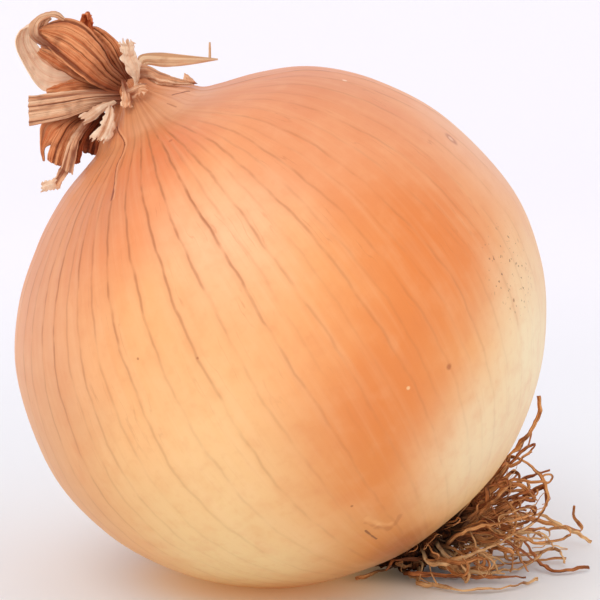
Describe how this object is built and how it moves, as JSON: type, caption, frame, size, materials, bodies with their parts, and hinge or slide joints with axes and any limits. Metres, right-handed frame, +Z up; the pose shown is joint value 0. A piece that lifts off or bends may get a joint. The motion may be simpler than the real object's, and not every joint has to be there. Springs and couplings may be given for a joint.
{
  "type": "onion",
  "caption": "Whole yellow globe onion with papery veined skin, a gathered neck with dried curled leaves, and a tuft of dry tangled roots, lying on a small flat spot.",
  "frame": {"origin": "centre of the small flat spot that the bulb rests on", "axes": "+Z up from the surface; the neck leans to -X and the roots are at +X; -Y is the side seen in the picture"},
  "size_m": [0.0967, 0.0878, 0.0935],
  "materials": {
    "skin": "satin",
    "root_plate": "matte",
    "leaf_brown": "matte",
    "leaf_dark": "matte",
    "leaf_tan": "matte",
    "leaf_pale": "matte",
    "root": "matte"
  },
  "bodies": {
    "root": {"bulb": "skin", "leaf_back_dark": "leaf_dark", "leaf_curl_strand": "leaf_tan", "leaf_dangling_strip": "leaf_tan", "leaf_fold_front": "leaf_brown", "leaf_hanging_behind": "leaf_brown", "leaf_hanging_left": "leaf_brown", "leaf_hanging_middle": "leaf_dark", "leaf_hanging_right": "leaf_dark", "leaf_jagged_flake": "leaf_pale", "leaf_pale_cup": "leaf_pale", "leaf_pointed_blade": "leaf_tan", "leaf_ribbed_band": "leaf_tan", "leaf_star_flake": "leaf_pale", "leaf_torn_band": "leaf_pale", "leaf_twisted_shred": "leaf_brown", "leaf_upright_flake": "leaf_pale", "root_arc_right": "root", "root_back_left": "root", "root_back_long": "root", "root_back_right": "root", "root_back_under": "root", "root_back_wavy": "root", "root_blunt_end": "root", "root_climber_back": "root", "root_climber_front": "root", "root_climber_side": "root", "root_curl_front": "root", "root_drop_front": "root", "root_drop_middle": "root", "root_fan_a": "root", "root_fan_b": "root", "root_fan_c": "root", "root_fan_front_high": "root", "root_fan_front_low": "root", "root_floor_front": "root", "root_floor_middle": "root", "root_front_bow": "root", "root_front_left": "root", "root_front_turn": "root", "root_hooked_right": "root", "root_long_right": "root", "root_loop_back": "root", "root_loop_high": "root", "root_low_right": "root", "root_plate": "root_plate", "root_tick_high": "root", "root_under_bulb": "root"}
  },
  "joints": []
}
